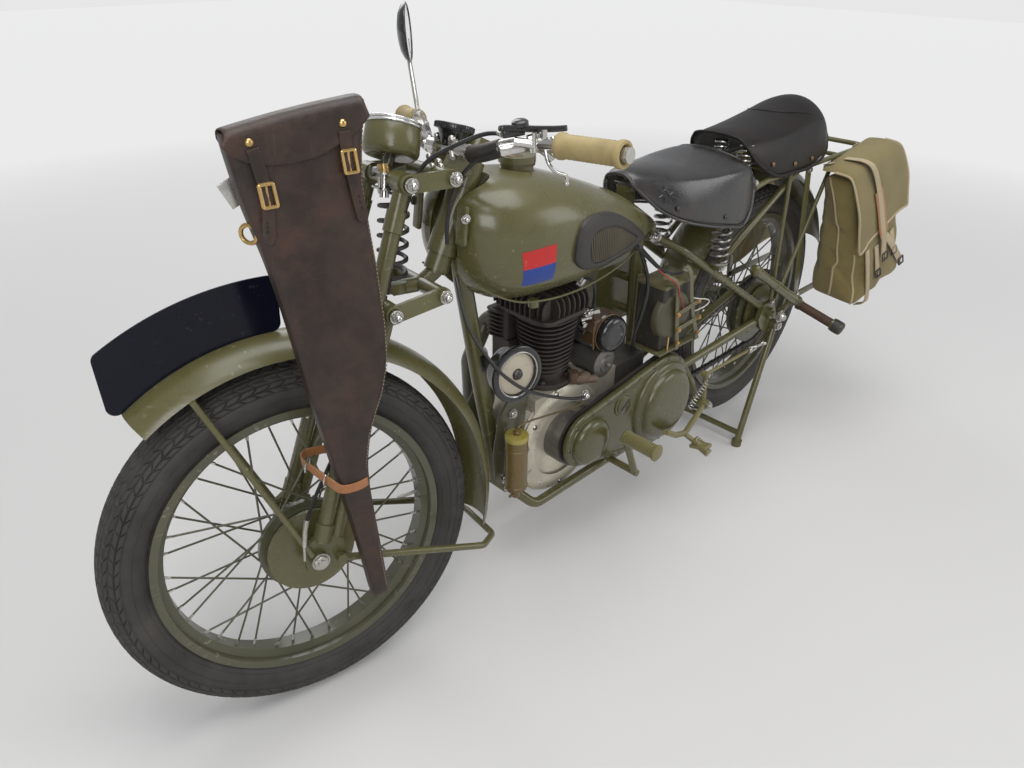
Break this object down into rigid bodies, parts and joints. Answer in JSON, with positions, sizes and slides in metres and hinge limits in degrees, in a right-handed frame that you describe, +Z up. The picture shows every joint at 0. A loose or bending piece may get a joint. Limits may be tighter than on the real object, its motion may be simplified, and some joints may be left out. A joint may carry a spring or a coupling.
{
  "type": "motorcycle",
  "caption": "Military solo motorcycle with a girder fork, side-valve single engine, panniers and a scabbard, parked on its rear stand",
  "frame": {"origin": "middle of the machine's length and width, on the floor", "axes": "+X forward along the machine, +Y to the rider's left, +Z up"},
  "size_m": [2.077, 0.6979, 1.1377],
  "materials": {
    "olive paint": "satin",
    "black paint": "satin",
    "cast metal": "satin",
    "case metal": "satin",
    "iron": "matte",
    "bright metal": "satin",
    "spring steel": "satin",
    "wheel paint": "satin",
    "tyre": "matte",
    "rubber": "matte",
    "black leather": "satin",
    "brown leather": "satin",
    "canvas": "matte",
    "battery case": "matte",
    "brass": "satin",
    "pump paint": "matte"
  },
  "bodies": {
    "frame": {"frame_tubes": "black paint", "fuel_tank": "olive paint", "knee_pads": "rubber", "saddle": "black leather", "seat_springs": "spring steel", "pillion_seat": "black leather", "rear_guard": "olive paint", "carrier": "olive paint", "crankcase": "cast metal", "cylinder": "iron", "cylinder_head": "iron", "primary_chaincase": "case metal", "gearbox": "cast metal", "magneto": "bright metal", "carburettor": "bright metal", "exhaust": "black paint", "oil_tank": "olive paint", "battery": "battery case", "battery_carrier": "olive paint", "horn": "black paint", "oil_bottle": "brass", "tyre_pump": "pump paint", "footrests": "black paint", "foot_controls": "bright metal", "rear_chain": "spring steel", "chain_guard": "olive paint", "rear_spindle": "bright metal", "pannier_left": "canvas", "pannier_right": "canvas"},
    "fork": {"girder_fork": "olive paint", "fork_links": "black paint", "steering_stem": "black paint", "fork_spring": "spring steel", "handlebar": "olive paint", "grips": "rubber", "mirror": "bright metal", "headlamp": "olive paint", "speedometer": "bright metal", "front_guard": "olive paint", "number_plate": "black paint", "front_spindle": "bright metal", "scabbard": "brown leather"},
    "front_wheel_body": {"front_tyre": "tyre", "front_wheel": "wheel paint"},
    "rear_wheel_body": {"rear_tyre": "tyre", "rear_wheel": "wheel paint"},
    "rear_stand_body": {"rear_stand": "black paint"},
    "front_stand_body": {"front_stand": "black paint"}
  },
  "joints": [
    {"name": "steering", "type": "hinge", "parent": "frame", "child": "fork", "pos_m": [0.78175, 0, 0], "axis": [-0.454, 0, 0.891], "range_deg": [-23, 47]},
    {"name": "front_wheel_spin", "type": "hinge", "parent": "fork", "child": "front_wheel_body", "pos_m": [0.715, -0.01864, 0.32411], "axis": [0.1852, 0.9781, 0.0944], "continuous": true},
    {"name": "rear_wheel_spin", "type": "hinge", "parent": "frame", "child": "rear_wheel_body", "pos_m": [-0.65525, 0, 0.361], "axis": [0, 1, 0], "continuous": true},
    {"name": "rear_stand_swing", "type": "hinge", "parent": "frame", "child": "rear_stand_body", "pos_m": [-0.68525, 0, 0.318], "axis": [0, 1, 0], "range_deg": [0, 95]},
    {"name": "front_stand_swing", "type": "hinge", "parent": "fork", "child": "front_stand_body", "pos_m": [0.67971, -0.01112, 0.31547], "axis": [-0.1852, -0.9781, -0.0944], "range_deg": [0, 75]}
  ]
}
